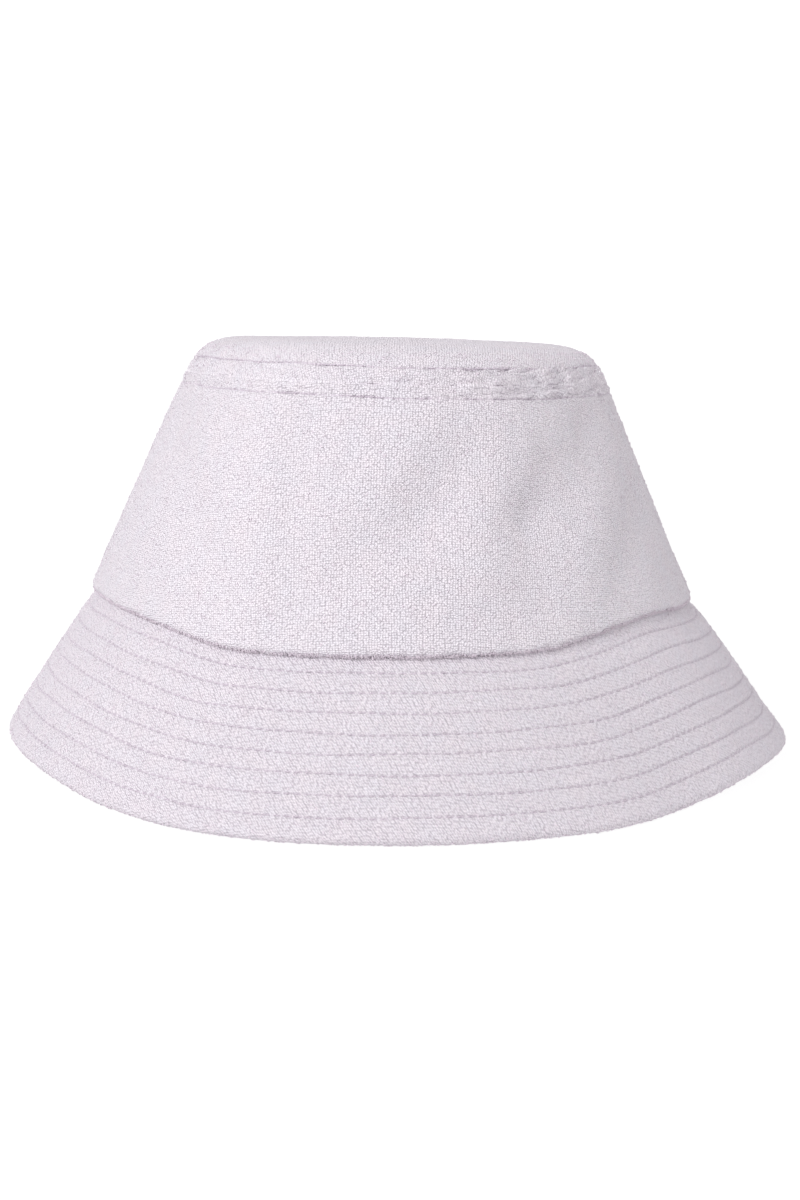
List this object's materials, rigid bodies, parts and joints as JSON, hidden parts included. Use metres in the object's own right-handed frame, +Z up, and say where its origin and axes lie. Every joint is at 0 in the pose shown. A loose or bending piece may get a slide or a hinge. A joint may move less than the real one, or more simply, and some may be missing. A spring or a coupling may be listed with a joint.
{
  "type": "bucket hat",
  "caption": "Towelling bucket hat with an oval tip, a flared side band, a stiffened downturned brim quilted in concentric stitch rows, and an inner sweatband.",
  "frame": {"origin": "on the plane the hat rests on, under the middle of its outline", "axes": "+Z up from the brim to the tip; +Y to the back of the hat, along its longer, front-to-back direction; +X to the right as seen from the front"},
  "size_m": [0.2478, 0.2776, 0.1291],
  "materials": {
    "towelling": "looped cotton pile, matt, pale lilac",
    "interlining": "stiff woven canvas, matt, off-white",
    "twill": "cotton twill tape, matt, lilac",
    "satin": "woven satin, blank, soft sheen",
    "thread": "polyester sewing thread, lilac"
  },
  "bodies": {
    "root": {"crown_tip": "towelling", "crown_front_panel": "towelling", "crown_back_panel": "towelling", "brim_top_front": "towelling", "brim_top_back": "towelling", "brim_under_front": "towelling", "brim_under_back": "towelling", "brim_interlining": "interlining", "sweatband": "twill", "tip_seam_tape": "twill", "side_seam_tape_left": "twill", "side_seam_tape_right": "twill", "size_label": "satin", "tip_stitch_upper": "thread", "tip_stitch_lower": "thread", "tip_bobbin_upper": "thread", "tip_bobbin_lower": "thread", "brim_stitch_row_1": "thread", "brim_stitch_row_2": "thread", "brim_stitch_row_3": "thread", "brim_stitch_row_4": "thread", "brim_stitch_row_5": "thread", "brim_stitch_row_6": "thread", "brim_stitch_row_7": "thread", "brim_stitch_row_8": "thread", "brim_bobbin_row_1": "thread", "brim_bobbin_row_2": "thread", "brim_bobbin_row_3": "thread", "brim_bobbin_row_4": "thread", "brim_bobbin_row_5": "thread", "brim_bobbin_row_6": "thread", "brim_bobbin_row_7": "thread", "brim_bobbin_row_8": "thread", "sweatband_stitch_lower": "thread", "sweatband_stitch_upper": "thread"}
  },
  "joints": []
}
